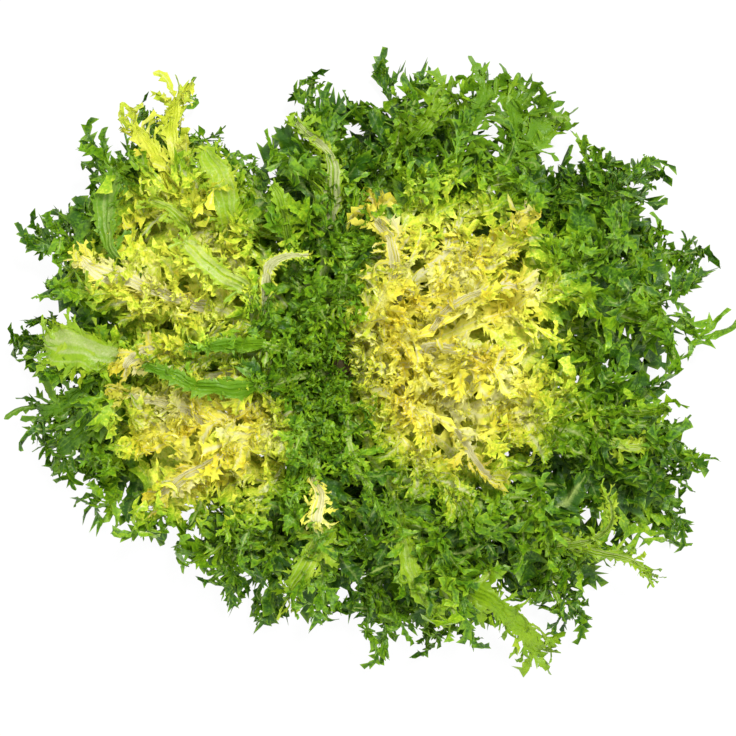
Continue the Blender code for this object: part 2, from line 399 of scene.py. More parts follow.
def bent_path(curl, sway, twist):
    """A unit-long path from the origin along +X that curls up, sways sideways and twists."""

    def path(share):
        bend = curl * share
        point = Vector((math.sin(bend) / curl, sway * share * share, (1 - math.cos(bend)) / curl))
        along = Vector((math.cos(bend), 2 * sway * share, math.sin(bend))).normalized()
        side = Vector((-2 * sway * share * math.cos(bend), 1, 0)).normalized()
        up = along.cross(side).normalized()
        turn = twist * share
        turned = side * math.cos(turn) + up * math.sin(turn)
        return point, along, turned, along.cross(turned)

    return path


FRILL_ENDS = (0.3, 0.2)  # shares of its width, at the root and at the tip
FRILL_OPEN = (0.6, 0.72)  # from where to where it is fully open
FRILL_THICKNESS = (0.03, 0.014)
FRILL_TEETH = (0.2, 0.5, 0.9, 1.3, 1.8)  # shares of the fringe


def frill_shape(name, rng, steps, width, spread, lobes, depth, waves, wave, fringe, pale, curl,
                sway, twist, cup):
    """A ruffled fan one unit long: a narrow root, then lobed and toothed margins that wave.

    Its section is a flat diamond of the vein's upper line, a margin, its lower line, a margin.
    """
    path = bent_path(curl, sway, twist)
    margins = [(hand, rng.uniform(0, math.tau), rng.uniform(0, math.tau)) for hand in (1, -1)]
    places, veins = [], []
    for step in range(steps + 1):
        share = strayed(step, steps, rng)
        centre, along, side, up = path(share)
        opened = width * mix(FRILL_ENDS[0], 1, smooth_step(0.0, FRILL_OPEN[0], share))
        opened *= mix(1, FRILL_ENDS[1], smooth_step(FRILL_OPEN[1], 1, share))
        is_tooth = step % 2 == 1
        thickness = mix(*FRILL_THICKNESS, share)
        for hand, lobed_from, waved_from in margins:
            notch = 0.5 + 0.5 * math.cos(math.tau * lobes * share + lobed_from)
            reach = opened * (1 - depth * notch * notch)
            out = (side * hand + along * (spread * share)).normalized()
            ruffle = wave * math.sin(math.tau * waves * share + waved_from)
            place = centre + out * reach + up * (reach * (cup + ruffle))
            if is_tooth:
                point = out + along * 0.6 + up * rng.uniform(-0.6, 0.9)
                place += point * (fringe * rng.choice(FRILL_TEETH))
            places += [centre + up * (thickness * hand), place]
            veins += [pale, 0.0 if is_tooth else 0.35 * pale]
    return closed_mesh(name, places, tube_faces(0, 4, steps), {"vein": veins})


def shape_set(name, meshes):
    """A collection of shapes to choose from, in their order."""
    collection = bpy.data.collections.new(name)
    bpy.context.scene.collection.children.link(collection)
    for number, mesh in enumerate(meshes):
        collection.objects.link(bpy.data.objects.new(f"{name}_{number:02d}", mesh))
    return collection


RUFFLE_STEPS = 9  # rings of points to one ruffle of a strip


class Strips:
    """Tapering strips, closed at both ends, with combs of teeth on their margins, in one mesh."""

    def __init__(self):
        self.places, self.faces = [], []
        self.points = {"vein": [], "shade": [], "own": []}

    def add(self, path, steps, end, half_width, thickness, section, fringe, rng, pale=1.0,
            shade=0.0, own=0.0, cup=0.0, wave=0.0):
        first = len(self.places)
        streaks = [pale * (1 - (1 - level) * rng.uniform(0.1, 0.9)) for _, level in section]
        waved_from = [rng.uniform(0, math.tau) for _ in range(2)]
        for step in range(steps + 1):
            share = strayed(step, steps, rng) * end
            centre, along, side, up = path(share)
            width = half_width(share)
            for (out, level), streak in zip(section, streaks):
                place = centre + side * (width * out) + up * (thickness(share) * level)
                turn = math.tau * steps / RUFFLE_STEPS * share
                ruffle = wave * math.sin(turn + waved_from[out > 0])
                place += up * (width * (cup * abs(out) ** 1.5 + ruffle * out * out))
                is_margin = abs(out) == 1.0
                is_tooth = is_margin and step % 2 == 1 and step < steps
                if is_tooth:
                    stands_out = fringe * rng.uniform(0.1, 1.7)
                    place += (side * out + along * 0.7 + up * rng.uniform(-0.5, 0.9)) * stands_out
                self.places.append(place)
                vein = 0.0 if is_tooth else 0.45 * streak if is_margin else streak
                for key, value in (("vein", vein), ("shade", shade), ("own", own)):
                    self.points[key].append(value)
        self.faces += tube_faces(first, len(section), steps)

    def new_mesh(self, name):
        return closed_mesh(name, self.places, self.faces, self.points)


class Stations:
    """Loose points, each with the turn, size and number of the shape that grows there."""

    def __init__(self):
        self.places = []
        self.points = {"turn": [], "size": [], "pick": [], "shade": [], "own": []}

    def add(self, place, along, up, size, pick, shade=0.0, own=0.0):
        side = up.cross(along).normalized()
        basis = Matrix((along, side, along.cross(side))).transposed()
        self.places.append(place)
        self.points["turn"].extend(basis.to_quaternion())
        for key, value in (("size", size), ("pick", pick), ("shade", shade), ("own", own)):
            self.points[key].append(value)

    def new_object(self, name):
        mesh = bpy.data.meshes.new(name)
        mesh.from_pydata(self.places, [], [])
        kinds = {"turn": "QUATERNION", "pick": "INT"}
        for key, values in self.points.items():
            set_points(mesh, key, values, kinds.get(key, "FLOAT"))
        return new_object(name, mesh)


WAVE_GROWS = 0.05  # how far from the root a leaf comes to its full wave
SWIRL_GAIN = 3.0  # brings the noise, which keeps near its middle, up to its amount


def growing_tree():
    """Geometry Nodes that set shapes on their stations along a strip, and ripple the whole."""
    tree = bpy.data.node_groups.new("grow_on_strip", "GeometryNodeTree")
    tree.is_modifier = True
    for names, kind in (
        (("Geometry",), "Geometry"),
        (("Strip",), "Object"),
        (("Shapes",), "Collection"),
        (("Wave", "Wavelength", "Ripple", "Ripple Length", "Lowest", "Root Radius"), "Float"),
        (("Finish",), "Material"),
    ):
        for name in names:
            tree.interface.new_socket(name, in_out="INPUT", socket_type=f"NodeSocket{kind}")
    tree.interface.new_socket("Geometry", in_out="OUTPUT", socket_type="NodeSocketGeometry")
    given = tree.nodes.new("NodeGroupInput").outputs

    def add(kind, entries, **settings):
        return new_node(tree, f"GeometryNode{kind}", entries, **settings)

    def attribute(name, kind):
        return add("InputNamedAttribute", {"Name": name}, data_type=kind)["Attribute"]

    def number(operation, *values):
        return arithmetic(tree, operation, *values)

    def vector(operation, entries):
        return new_node(tree, "ShaderNodeVectorMath", entries, operation=operation)

    def swirl(place, length, amount):
        """A smooth random push, up to about that amount, that changes over that length."""
        entries = {"Vector": place, "Scale": number("DIVIDE", 1.0, length), "Detail": 1.0}
        field = new_node(tree, "ShaderNodeTexNoise", entries)["Color"]
        centred = vector("SUBTRACT", {0: field, 1: (0.5, 0.5, 0.5)})[0]
        return vector("SCALE", {0: centred, "Scale": number("MULTIPLY", amount, SWIRL_GAIN)})[0]

    shapes = add("CollectionInfo", {
        "Collection": given["Shapes"],
        "Separate Children": True,
        "Reset Children": True,
    })
    placed = add("InstanceOnPoints", {
        "Points": given["Geometry"],
        "Instance": shapes["Instances"],
        "Pick Instance": True,
        "Instance Index": attribute("pick", "INT"),
        "Rotation": attribute("turn", "QUATERNION"),
        "Scale": attribute("size", "FLOAT"),
    })
    strip = add("ObjectInfo", {"Object": given["Strip"]})
    both = tree.nodes.new("GeometryNodeJoinGeometry")
    for part in (placed["Instances"], strip["Geometry"]):
        tree.links.new(part, both.inputs["Geometry"])
    real = add("RealizeInstances", {"Geometry": both.outputs["Geometry"]})

    place = add("InputPosition", {})[0]
    radius = vector("LENGTH", {0: vector("MULTIPLY", {0: place, 1: (1, 1, 0)})[0]})["Value"]
    away = new_node(tree, "ShaderNodeMapRange", {
        "Value": radius,
        "From Min": given["Root Radius"],
        "From Max": number("ADD", given["Root Radius"], WAVE_GROWS),
    })
    wave = number("MULTIPLY", given["Wave"], away["Result"])
    soft = number("SUBTRACT", 1.0, attribute("vein", "FLOAT"))
    ripple = number("MULTIPLY", given["Ripple"], soft)
    push = vector("ADD", {
        0: swirl(place, given["Wavelength"], wave),
        1: swirl(place, given["Ripple Length"], ripple),
    })
    moved = add("SetPosition", {"Geometry": real["Geometry"], "Offset": push[0]})

    # What would go through the table levels out just above it.
    after = new_node(tree, "ShaderNodeSeparateXYZ", {0: place})
    low = number("MINIMUM", after["Z"], given["Lowest"])
    under = number("DIVIDE", number("SUBTRACT", low, given["Lowest"]), given["Lowest"])
    landed = number("MULTIPLY", number("EXPONENT", under), given["Lowest"])
    raised = number("MAXIMUM", after["Z"], landed)
    lifted = new_node(tree, "ShaderNodeCombineXYZ", {"X": after["X"], "Y": after["Y"], "Z": raised})
    rested = add("SetPosition", {"Geometry": moved["Geometry"], "Position": lifted[0]})
    finished = add("SetMaterial", {"Geometry": rested["Geometry"], "Material": given["Finish"]})
    fill(tree, tree.nodes.new("NodeGroupOutput"), {"Geometry": finished["Geometry"]})
    return tree


GROW_ON_STRIP = growing_tree()


def grow(name, stations, strips, inputs):
    """Runs the tree on stations and strips, and gives back one plain mesh."""
    host = stations.new_object("stations")
    strip = new_object("strip", strips.new_mesh("strip"))
    modifier = host.modifiers.new("grow", "NODES")
    modifier.node_group = GROW_ON_STRIP
    sockets = {item.name: item.identifier for item in GROW_ON_STRIP.interface.items_tree
               if item.in_out == "INPUT"}
    for key, value in {"Strip": strip, **inputs}.items():
        modifier[sockets[key]] = value
    depsgraph = bpy.context.evaluated_depsgraph_get()
    mesh = bpy.data.meshes.new_from_object(host.evaluated_get(depsgraph))
    mesh.name = name
    for used in (host, strip):
        bpy.data.objects.remove(used)
    for used in ("turn", "size", "pick"):
        mesh.attributes.remove(mesh.attributes[used])
    return mesh


# Across a strap, a rib and a blade: from margin to margin over the top, and back underneath.
STRAP_SECTION = ((1.0, 0.0), (0.0, 0.5), (-1.0, 0.0), (0.0, -0.5))
RIB_SECTION = (
    (1.0, 0.0), (0.62, 0.5), (0.0, 0.28), (-0.62, 0.5), (-1.0, 0.0), (-0.55, -0.6), (0.0, -0.9),
    (0.55, -0.6),
)
BLADE_SECTION = (
    (1.0, 0.0), (0.76, 0.8), (0.52, 0.1), (0.26, 0.9), (0.0, 0.0), (-0.26, 0.9), (-0.52, 0.1),
    (-0.76, 0.8), (-1.0, 0.0), (-0.5, -0.8), (0.5, -0.8),
)
STRAP_END = 0.86
STRAP_TAPER = 0.45
STRAP_THICKNESS = (0.036, 0.016)
STRAP_FRINGE = 0.03
LAST_FAN = 0.78  # where the fan ahead grows
FAN_PLACES = {1: 0.4, -1: 0.8}  # of the left and the right fan of a pair
NO_TABLE = -10.0


def spray_mesh(name, rng, fans, pairs, fan, spread, strap, curl, sway, lift, roll):
    """A lobe one unit long: a curved strap with ruffled fans down both sides and one ahead."""
    path = bent_path(curl, sway, 0.0)
    straps = Strips()
    straps.add(path, pairs + 2, STRAP_END, lambda share: strap * mix(1, STRAP_TAPER, share),
               lambda share: mix(*STRAP_THICKNESS, share), STRAP_SECTION, STRAP_FRINGE, rng)
    stations = Stations()
    for pair in range(pairs):
        for hand in (1, -1):
            share = (pair + FAN_PLACES[hand] + rng.uniform(-0.2, 0.2)) / pairs * STRAP_END
            angle = spread * mix(1.15, 0.6, share) * rng.uniform(0.75, 1.25)
            rise = rng.uniform(-lift, lift * 1.3)
            point, *turned = path(share)
            out, face = leaning(*turned, hand * angle, rise, rng.uniform(-roll, roll))
            size = fan * math.sin(math.pi * mix(0.24, 0.80, share)) * rng.uniform(0.7, 1.2)
            stations.add(point, out, face, size, rng.randrange(FANS))
    point, along, _, up = path(LAST_FAN)
    stations.add(point, along, up, fan * 1.1, rng.randrange(FANS))
    mesh = grow(name, stations, straps, {"Shapes": fans, "Lowest": NO_TABLE})
    for used in ("shade", "own"):
        mesh.attributes.remove(mesh.attributes[used])
    return mesh


@dataclass
class Lobes:
    """One set of lobes down both sides of a leaf."""

    sorts: tuple
    spacing: float  # on one side of the rib
    longest: float
    start: float  # share of the rib that is bare
    lean: tuple  # angle between lobe and rib, near the root and near the point
    yaw: float  # how much that varies
    pitch: tuple  # how far lobes rise out of the leaf
    tilt: float  # how far they are turned on their own length
    crown: float = 0.0  # how much more the lobes round the core rise
    painted_shade: float = 0.0  # how much greener and darker than the rest of the leaf: painted shade on low lobes under the others, painted light where below zero
    stretch: float = 1.0  # how much longer they grow where the next leaf is far
    inside: float = 1.0  # share of the outline's reach that they keep to


@dataclass
class Habit:
    """How the leaves of one ring grow."""

    lobes: tuple
    greens: tuple  # where yellow starts to turn and is gone, the least and the most, more at tips
    ripple: float
    strands: str = "green_strand"
    end_length: float = 0.030


LEAF_FRINGE = 0.0022
LEAF_WAVE = 0.0045
LEAF_WAVELENGTH = 0.028
RIPPLE_LENGTH = 0.006
RIB_STEP = 0.0060
FEWEST_STEPS = 12
RIB_PAST_END = 0.04  # how far a rib runs into the lobe at its end
BLADE_STEP = 0.0020
BLADE_THICKNESS = (0.0016, 0.0007)
BLADE_FRINGE = 0.0016
BLADE_WAVE = 0.35
STRAND_SPACING = 0.0052
STRAND_ROOT = 0.85  # where strands grow, as a share of the blade's half width
STRAND_CROWN = 0.93  # where the crown of strands at its tip grows
CROWN_ANGLES = (-1.0, -0.5, 0.0, 0.5, 1.0)


@dataclass
class Blade:
    """A bare strap that lies over the frizz, from its leaf's rib past a bend to a tip."""

    leaf: int
    start: float  # share of the rib
    bend: tuple
    tip: tuple
    widths: tuple  # half widths at the rib, half way and at the tip
    green: float
    pale: float
    frizz: float  # length of the strands on its margins

    def path(self, leaf):
        root, bend, tip = leaf.rib_point(self.start), Vector(self.bend), Vector(self.tip)

        def path(share):
            near, far = root.lerp(bend, share), bend.lerp(tip, share)
            along = (far - near).normalized()
            side = Vector((0, 0, 1)).cross(along).normalized()
            return near.lerp(far, share), along, side, along.cross(side)

        return path

    def length(self, leaf):
        bend = Vector(self.bend)
        return (bend - leaf.rib_point(self.start)).length + (Vector(self.tip) - bend).length

    def half_width(self, share):
        first, middle, last = self.widths
        rounded = math.sqrt(min((1.02 - share) / 0.15, 1))
        return rounded * mix(mix(first, middle, share), mix(middle, last, share), share)


def blades_from(*rows):
    """Blades whose places, widths and frizz are given in millimetres."""

    def metres(lengths):
        return tuple(length / 1000 for length in lengths)

    return [
        Blade(leaf, start, metres(bend), metres(tip), metres(widths), green, pale, frizz / 1000)
        for leaf, start, bend, tip, widths, green, pale, frizz in rows
    ]


def leaning(along, side, up, angle, rise, tilt):
    """The direction and the upper face of something that leaves a rib at those angles."""
    out = side * math.sin(angle) + along * math.cos(angle)
    out = (out * math.cos(rise) + up * math.sin(rise)).normalized()
    face = (up * math.cos(tilt) + up.cross(out) * math.sin(tilt)).normalized()
    return out, face


def room_beside(leaf, point, hand):
    """How far it is, round the head, to the next rib of the same ring on that side."""
    radius = math.hypot(point.x, point.y)
    nearest = math.tau
    for other in leaves:
        if other.kind == leaf.kind and other is not leaf and other.reach > radius:
            share = max(radius - other.root_radius, 0) / (other.reach - other.root_radius)
            turn = other.azimuth + other.bow * share * share - math.atan2(point.y, point.x)
            nearest = min(nearest, hand * turn % math.tau)
    return radius * nearest


def blade_stations(leaf, blade, strands, stations, rng):
    """Strands along both margins of a blade, and a crown of them at its tip."""
    path = blade.path(leaf)
    pairs = int(blade.length(leaf) / STRAND_SPACING)
    for pair in range(pairs):
        share = (pair + 1) / pairs
        centre, along, side, up = path(share)
        for hand in (1, -1):
            root = centre + side * (hand * STRAND_ROOT * blade.half_width(share))
            angle = hand * mix(1.1, 0.6, share) * rng.uniform(0.5, 1.3)
            rise, tilt = rng.uniform(-0.3, 0.7), rng.uniform(-0.8, 0.8)
            out, face = leaning(along, side, up, angle, rise, tilt)
            size = blade.frizz * rng.uniform(0.6, 1.2)
            green = blade.green + rng.uniform(-0.06, 0.10)
            stations.add(root, out, face, size, rng.choice(SORTS[strands]), green, 1.0)
    centre, along, side, up = path(STRAND_CROWN)
    for angle in CROWN_ANGLES:
        root = centre + side * (math.sin(angle) * blade.half_width(STRAND_CROWN))
        rise, tilt = rng.uniform(-0.4, 0.6), rng.uniform(-0.9, 0.9)
        out, face = leaning(along, side, up, angle, rise, tilt)
        green = blade.green + rng.uniform(-0.04, 0.12)
        size = blade.frizz * rng.uniform(0.9, 1.3)
        stations.add(root, out, face, size, rng.choice(SORTS[strands]), green, 1.0)


def lobe_stations(leaf, habit, rng):
    """Lobes by turns on both sides of the rib, small near the root, and one at the rib's end."""
    stations = Stations()
    length = leaf.reach - leaf.root_radius
    end_size = habit.end_length * rng.uniform(0.9, 1.1)
    end_share = 1 - 0.85 * end_size / length
    for lobes in habit.lobes:
        span = end_share - lobes.start
        pairs = max(round(length * span / lobes.spacing), 4)
        for pair in range(pairs):
            for hand in (1, -1):
                place = (pair + (0.25 if hand > 0 else 0.75) + rng.uniform(-0.2, 0.2)) / pairs
                share = lobes.start + span * place
                angle = mix(*lobes.lean, place) + rng.uniform(-lobes.yaw, lobes.yaw)
                rise = rng.uniform(*lobes.pitch) + lobes.crown * max(1 - 4 * place, 0)
                tilt = rng.uniform(-lobes.tilt, lobes.tilt)
                out, face = leaning(*leaf.rib_frame(share), hand * angle, rise, tilt)
                grown = float(smooth_step(-0.2, 0.5, place))
                root = leaf.rib_point(share)
                room = room_beside(leaf, root, hand) / lobes.longest
                size = lobes.longest * mix(0.45, 1, grown) * rng.uniform(0.75, 1.15)
                size *= min(max(0.6 * room, 0.85), lobes.stretch)
                for _ in range(FIT_TRIES):
                    tip = root + out * size
                    limit = outline_reach(math.atan2(tip.y, tip.x)) * OUTLINE_SHARE * lobes.inside
                    if math.hypot(tip.x, tip.y) < limit and tip.z < CROWN_HEIGHT:
                        break
                    size *= FIT_STEP
                shape = rng.choice(SORTS[rng.choice(lobes.sorts)])
                # A random tone, plus the painted shade or painted light of this set of lobes.
                shade = lobes.painted_shade + rng.uniform(-0.13, 0.13)
                stations.add(root, out, face, size, shape, shade)
    along, side, up = leaf.rib_frame(end_share)
    stations.add(leaf.rib_point(end_share), along, up, end_size, rng.choice(SORTS["end"]))
    return stations, end_share


def leaf_strips(leaf, end_share, blades, rng):
    """The leaf's rib, flattened and channelled on its upper face, and its ridged bare blades."""
    strips = Strips()
    strips.add(lambda share: (leaf.rib_point(share), *leaf.rib_frame(share)),
               max(int((leaf.reach - leaf.root_radius) / RIB_STEP), FEWEST_STEPS),
               min(end_share + RIB_PAST_END, 1.0),
               lambda share: 0.5 * leaf.root_width * mix(1, RIB_END, share ** 0.8),
               lambda share: mix(leaf.root_thickness, END_THICKNESS, share ** 0.7),
               RIB_SECTION, LEAF_FRINGE, rng)
    for blade in blades:
        strips.add(blade.path(leaf), int(blade.length(leaf) / BLADE_STEP), 1.0, blade.half_width,
                   lambda share: mix(*BLADE_THICKNESS, share), BLADE_SECTION, BLADE_FRINGE, rng,
                   pale=blade.pale, shade=blade.green, own=1.0, cup=rng.uniform(0.1, 0.5),
                   wave=BLADE_WAVE)
    return strips


# The blanched hearts, one on the right and two patches on the left, which grew without light:
# centre, half widths, and how green the middle is.
HEARTS = (
    ((0.064, 0.014), (0.066, 0.086), 0.0),
    ((-0.090, 0.056), (0.060, 0.062), 0.10),
    ((-0.074, -0.038), (0.055, 0.045), 0.02),
)
SHADE_GAIN = 1.7  # how strongly a lobe's own shade changes its greenness


def greenness(x, y, soft, full, least, most):
    """How green a leaf is at those places: least in the hearts' middles, most away from them."""
    found = np.full(len(x), np.inf)
    for centre, size, base in HEARTS:
        away = np.hypot((x - centre[0]) / size[0], (y - centre[1]) / size[1])
        found = np.minimum(found, mix(least + base, most, smooth_step(soft, full, away)))
    return found


def point_places(mesh):
    places = np.zeros(len(mesh.vertices) * 3, np.float32)
    mesh.vertices.foreach_get("co", places)
    return places.reshape(-1, 3)


def read_points(mesh, key):
    values = np.zeros(len(mesh.vertices), np.float32)
    mesh.attributes[key].data.foreach_get("value", values)
    return values


def make_leaf(leaf, name, habit, blades, finish):
    """Grows a leaf, makes it a plain mesh, and gives each point its greenness."""
    rng = random.Random(LEAF_SEED + leaf.index)
    stations, end_share = lobe_stations(leaf, habit, rng)
    blades = [blade for blade in blades if blade.leaf == leaf.index]
    for blade in blades:
        blade_stations(leaf, blade, habit.strands, stations, rng)
    mesh = grow(name, stations, leaf_strips(leaf, end_share, blades, rng), {
        "Shapes": LOBES,
        "Wave": LEAF_WAVE,
        "Wavelength": LEAF_WAVELENGTH,
        "Ripple": habit.ripple,
        "Ripple Length": RIPPLE_LENGTH,
        "Lowest": LANDING,
        "Root Radius": leaf.root_radius,
        "Finish": finish,
    })
    x, y, _ = point_places(mesh).T
    *around_hearts, at_tips = habit.greens
    green = greenness(x, y, *around_hearts) + at_tips * read_points(mesh, "tip")
    shade, own = read_points(mesh, "shade"), read_points(mesh, "own")
    green = np.clip(mix(green * (1 + SHADE_GAIN * shade), shade, own), 0, 1)
    set_points(mesh, "green", green)
    made = new_object(f"frizzy_{name}", mesh)
    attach(made, BODY)
    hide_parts(name)
    return made


LEAF_COLOURS = {
    "Golden": (0.90, 0.79, 0.06, 1),
    "Blanched": (0.90, 0.86, 0.11, 1),
    "Cream": (0.88, 0.86, 0.36, 1),
    "Turning": (0.68, 0.76, 0.05, 1),
    "Light Green": (0.30, 0.50, 0.012, 1),
    "Green": (0.135, 0.310, 0.008, 1),
    "Dark Green": (0.032, 0.110, 0.004, 1),
    "Blanched Vein": (0.84, 0.82, 0.48, 1),
    "Green Vein": (0.38, 0.50, 0.12, 1),
}
DULLER = (0.88, 0.87, 0.90)  # bare blades, beside the frizz


def leaf_colour_group():
    """Leaf flesh from blanched yellow to dark green, with paler veins and streaks, and painted
    highlights on its teeth.
    """
    tree = bpy.data.node_groups.new("leaf_flesh", "ShaderNodeTree")
    face = tree.interface
    for name, colour in LEAF_COLOURS.items():
        socket = face.new_socket(name, in_out="INPUT", socket_type="NodeSocketColor")
        socket.default_value = colour
    for name, kind in (("Color", "Color"), ("Roughness", "Float"), ("Height", "Float")):
        face.new_socket(name, in_out="OUTPUT", socket_type=f"NodeSocket{kind}")
    given = tree.nodes.new("NodeGroupInput").outputs
    place = tree.nodes.new("ShaderNodeTexCoord").outputs["Object"]

    def attribute(name):
        return new_node(tree, "ShaderNodeAttribute", {}, attribute_name=name)["Fac"]

    def varied(value, by, amount):
        """A value that goes up and down with a noise, half the amount either way."""
        swing = arithmetic(tree, "MULTIPLY_ADD", by, amount, -amount / 2)
        return arithmetic(tree, "ADD", value, swing)

    green, vein, own = attribute("green"), attribute("vein"), attribute("own")
    patches = noise(tree, place, 42, 3)
    specks = noise(tree, place, 560, 2)
    streaks = noise(tree, place, 950, 2)
    fine = arithmetic(tree, "MULTIPLY_ADD", specks, 0.8, -0.4)
    fine = arithmetic(tree, "MULTIPLY", fine, remap(tree, own, 0, 1, 1, 0.3))
    green = arithmetic(tree, "ADD", varied(green, patches, 0.34), fine)

    tone = noise(tree, place, 48, 3)
    colour = given["Golden"]
    for by, low, high, name in (
        (tone, 0.36, 0.50, "Blanched"),
        (tone, 0.52, 0.64, "Cream"),
        (green, 0.05, 0.30, "Turning"),
        (green, 0.25, 0.52, "Light Green"),
        (green, 0.48, 0.76, "Green"),
        (green, 0.72, 1.0, "Dark Green"),
    ):
        colour = mix_colour(tree, remap(tree, by, low, high), colour, given[name])
    by_green = remap(tree, green, 0.1, 0.75)
    paler = mix_colour(tree, by_green, given["Blanched Vein"], given["Green Vein"])
    veined = remap(tree, varied(vein, streaks, 0.3), 0.5, 0.92)
    colour = mix_colour(tree, veined, colour, paler)
    # Painted highlight: the teeth and margins are made lighter, as if they caught the light.
    by_green = remap(tree, green, 0.1, 0.7)
    tip_highlight = mix_colour(tree, by_green, given["Blanched"], given["Light Green"])
    colour = mix_colour(tree, remap(tree, vein, 0.0, 0.3, 0.55, 0.0), colour, tip_highlight)
    colour = mix_colour(tree, own, colour, DULLER, "MULTIPLY")
    streaked = arithmetic(tree, "MULTIPLY", streaks, 0.4)
    fill(tree, tree.nodes.new("NodeGroupOutput"), {
        "Color": colour,
        "Roughness": remap(tree, specks, 0.25, 0.75, 0.28, 0.5),
        "Height": arithmetic(tree, "ADD", specks, streaked),
    })
    return tree


LEAF_FLESH = leaf_colour_group()


def mix_surface(tree, share, first, second):
    """Shows a share of the second shader and the rest of the first."""
    both = new_node(tree, "ShaderNodeMixShader", {0: share, 1: first, 2: second})
    fill(tree, tree.nodes["Material Output"], {"Surface": both[0]})


def leaf_material(name, translucent, bumpy):
    """Thin satin leaf: some of the light that falls on it comes out of the other face."""
    made, tree, shader = blank_material(name)
    flesh = new_node(tree, "ShaderNodeGroup", {}, node_tree=LEAF_FLESH)
    fill(tree, shader, {
        "Base Color": flesh["Color"],
        "Roughness": flesh["Roughness"],
        "Specular IOR Level": 0.3,
        "Normal": bump(tree, flesh["Height"], bumpy, 0.0007),
    })
    through = new_node(tree, "ShaderNodeBsdfTranslucent", {"Color": flesh["Color"]})
    mix_surface(tree, translucent, shader.outputs[0], through[0])
    return made


# Ranges that each shape's values are drawn from; lengths are for a shape one unit long.
FANS = 20
GREEN_FAN = dict(
    steps=(8, 8), width=(0.08, 0.16), spread=(0.3, 0.8), lobes=(1.0, 2.0), depth=(0.0, 0.5),
    waves=(1.0, 2.0), wave=(0.4, 0.9), fringe=(0.09, 0.17), pale=(0.2, 0.8), curl=(-1.4, 2.8),
    sway=(-0.8, 0.8), twist=(-2.0, 2.0), cup=(-0.8, 0.8))
HEART_FAN = dict(
    steps=(10, 11), width=(0.10, 0.20), spread=(0.3, 0.8), lobes=(1.0, 2.0), depth=(0.0, 0.4),
    waves=(1.0, 2.5), wave=(0.3, 0.8), fringe=(0.07, 0.14), pale=(0.4, 1.0), curl=(0.2, 2.4),
    sway=(-0.7, 0.7), twist=(-1.2, 1.2), cup=(-0.6, 0.6))
BROAD = dict(
    steps=(14, 15), width=(0.17, 0.26), spread=(0.5, 1.0), lobes=(1.6, 2.8), depth=(0.3, 0.6),
    waves=(2.0, 3.5), wave=(0.4, 0.8), fringe=(0.05, 0.085), pale=(0.4, 0.7), curl=(-1.0, 0.8),
    sway=(-0.4, 0.4), twist=(-0.9, 0.9), cup=(-0.5, 0.5))
SHEET = dict(
    steps=(20, 24), width=(0.10, 0.20), spread=(0.3, 0.8), lobes=(1.2, 2.2), depth=(0.2, 0.5),
    waves=(2.5, 4.5), wave=(0.3, 0.8), fringe=(0.04, 0.08), pale=(0.6, 1.0), curl=(0.2, 1.4),
    sway=(-0.4, 0.4), twist=(-0.9, 0.9), cup=(-0.6, 0.6))
SPRAY = dict(
    pairs=(5, 6), fan=(0.34, 0.46), spread=(0.8, 1.3), strap=(0.035, 0.060), curl=(-0.8, 1.6),
    sway=(-0.6, 0.6), lift=(0.5, 1.0), roll=(0.6, 1.3))
TUFT = dict(
    pairs=(5, 5), fan=(0.40, 0.56), spread=(0.9, 1.4), strap=(0.04, 0.07), curl=(-0.8, 2.2),
    sway=(-0.6, 0.6), lift=(0.6, 1.2), roll=(0.8, 1.5))
PLUME = dict(
    pairs=(4, 5), fan=(0.36, 0.50), spread=(0.7, 1.1), strap=(0.06, 0.11), curl=(0.2, 1.8),
    sway=(-0.5, 0.5), lift=(0.3, 0.8), roll=(0.4, 1.0))
END = dict(
    pairs=(6, 6), fan=(0.40, 0.52), spread=(0.75, 1.1), strap=(0.05, 0.08), curl=(-0.6, 0.9),
    sway=(-0.3, 0.3), lift=(0.3, 0.7), roll=(0.4, 0.9))


def drawn(rng, ranges):
    """A value for each range: a whole number between two whole ones, or any between two others."""
    return {
        key: rng.randint(*ends) if isinstance(ends[0], int) else rng.uniform(*ends)
        for key, ends in ranges.items()
    }


def frills(name, rng, count, ranges):
    return [frill_shape(name, rng, **drawn(rng, ranges)) for _ in range(count)]


def mark_tips(mesh):
    """Gives each point how far along the lobe it is."""
    set_points(mesh, "tip", np.linalg.norm(point_places(mesh), axis=1))
    return mesh


shapes = random.Random(SHAPE_SEED)
green_fans = shape_set("green_fan", frills("green_fan", shapes, FANS, GREEN_FAN))
heart_fans = shape_set("heart_fan", frills("heart_fan", shapes, FANS, HEART_FAN))
SORTS, lobe_meshes = {}, []
for sort, count, fans, ranges in (
    ("spray", 16, green_fans, SPRAY),
    ("tuft", 12, green_fans, TUFT),
    ("plume", 16, heart_fans, PLUME),
    ("end", 5, green_fans, END),
    ("broad", 12, None, BROAD),
    ("sheet", 16, None, SHEET),
    ("green_strand", 12, None, GREEN_FAN),
    ("heart_strand", 12, None, HEART_FAN),
):
    SORTS[sort] = range(len(lobe_meshes), len(lobe_meshes) + count)
    if fans:
        made = [spray_mesh(sort, shapes, fans, **drawn(shapes, ranges)) for _ in range(count)]
    else:
        made = frills(sort, shapes, count, ranges)
    lobe_meshes += [mark_tips(mesh) for mesh in made]
LOBES = shape_set("lobe", lobe_meshes)

growth = random.Random(SEED)
leaves = [Leaf(index, growth) for index in range(LEAF_COUNT)]
# Painted shade on the low broad lobes, and a little painted light on the lobes over them.
OUTER = Habit((
    Lobes(("broad",), spacing=0.0080, longest=0.042, start=0.10, lean=(1.5, 0.9), yaw=0.4,
          pitch=(-0.35, -0.12), tilt=0.4, painted_shade=0.20, stretch=2.2, inside=0.90),
    Lobes(("spray",), spacing=0.0106, longest=0.034, start=0.49, lean=(1.3, 0.8), yaw=0.5,
          pitch=(-0.1, 0.5), tilt=0.8, painted_shade=-0.05, stretch=2.0),
), greens=(0.5, 1.35, 0.12, 0.82, 0.12), ripple=0.0015)


